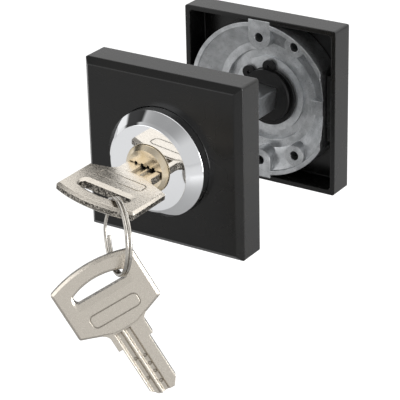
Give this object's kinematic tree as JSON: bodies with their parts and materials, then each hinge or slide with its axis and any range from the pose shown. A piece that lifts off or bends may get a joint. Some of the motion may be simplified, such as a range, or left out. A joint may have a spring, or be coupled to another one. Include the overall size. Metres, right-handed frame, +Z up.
{
  "type": "privacy rose lock set",
  "caption": "Square door rose pair with a key cylinder outside, a thumb turn inside, a square spindle, and two keys on a split ring.",
  "frame": {"origin": "centre of the outer rose's two fixing holes, on its door-side plane", "axes": "+Z up along the two fixing holes, +Y along the spindle from the keyed side through the door, +X to the right seen from the keyed side"},
  "size_m": [0.05, 0.1242, 0.0777],
  "materials": {
    "black_paint": "satin black powder coat on die-cast zinc",
    "die_cast_zinc": "bare die-cast zinc, as cast",
    "chrome": "polished chrome plate",
    "brass": "turned and polished brass",
    "nickel_key": "nickel plate, tumbled",
    "spring_steel": "bright steel",
    "zinc_steel": "bright zinc-plated steel",
    "black_steel": "blackened steel"
  },
  "bodies": {
    "root": {"outer_rose_cover": "black_paint", "outer_mounting_plate": "die_cast_zinc", "cylinder_collar": "chrome", "cylinder_body": "brass", "cylinder_washer": "zinc_steel", "cylinder_circlip": "black_steel", "driver_pins": "brass", "pin_springs": "spring_steel", "chamber_plugs": "brass", "inner_rose_cover": "black_paint", "inner_mounting_plate": "die_cast_zinc", "hub_washer": "zinc_steel"},
    "spindle": {"tail_driver": "zinc_steel", "square_spindle": "zinc_steel", "turn_hub": "black_steel", "hub_circlip": "black_steel", "thumb_turn": "black_paint", "turn_grub_screw": "black_steel"},
    "plug": {"lock_plug": "brass", "key_pins": "brass", "plug_clip": "spring_steel"},
    "key": {"lock_key": "nickel_key"},
    "ring": {"split_ring": "spring_steel"},
    "spare": {"spare_key": "nickel_key"}
  },
  "joints": [
    {"name": "spindle_turn", "type": "hinge", "parent": "root", "child": "spindle", "pos_m": [0, 0.04, 0], "axis": [0, 1, 0], "range_deg": [-8, 82]},
    {"name": "plug_turn", "type": "hinge", "parent": "root", "child": "plug", "pos_m": [0, 0, 0], "axis": [0, 1, 0], "range_deg": [-8, 82]},
    {"name": "key_slide", "type": "slide", "parent": "plug", "child": "key", "axis": [0, -1, 0], "range_m": [0, 0.017]},
    {"name": "ring_swing", "type": "hinge", "parent": "key", "child": "ring", "pos_m": [0.007, -0.0404, 0.0012], "axis": [-0.7839, 0.6209, 0], "range_deg": [-2, 20]},
    {"name": "spare_key_swing", "type": "hinge", "parent": "ring", "child": "spare", "pos_m": [0.007, -0.0404, -0.0182], "axis": [-0.7839, 0.6209, 0], "range_deg": [-2, 20]}
  ],
  "couplings": [
    {"joint": "plug_turn", "follows": "spindle_turn", "ratio": 1}
  ]
}
